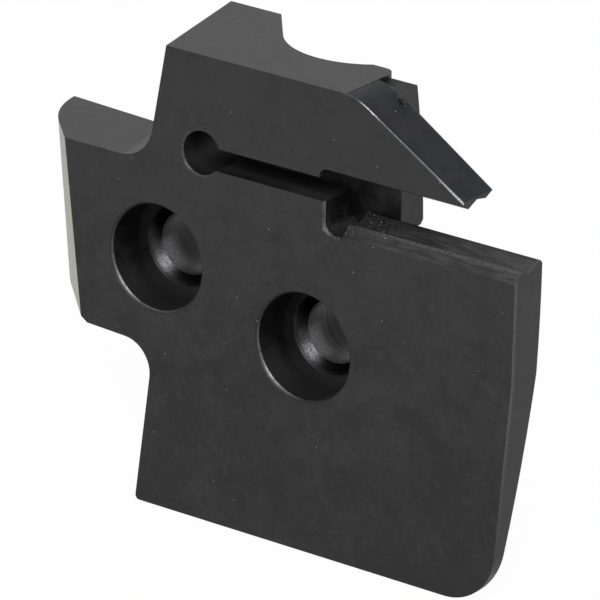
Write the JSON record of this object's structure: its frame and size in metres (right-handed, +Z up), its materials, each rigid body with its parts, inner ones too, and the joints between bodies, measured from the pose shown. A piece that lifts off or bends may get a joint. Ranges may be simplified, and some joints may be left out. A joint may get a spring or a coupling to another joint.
{
  "type": "face grooving blade",
  "caption": "Flat blackened steel blade with a sprung jaw and open pocket for a grooving insert, a curved support edge, two recessed screw holes and a bevelled rear tab.",
  "frame": {"origin": "axis of the rear screw hole where it meets the seating face on the holder side", "axes": "+X forward to the cutting end, +Y from the screw-head side to the holder side, +Z up towards the sprung jaw"},
  "size_m": [0.061, 0.0146, 0.0489],
  "materials": {
    "blackened_steel": "black oxide over milled and ground faces, satin, lightly oiled"
  },
  "bodies": {
    "root": {"grooving_blade": "blackened_steel"}
  },
  "joints": []
}
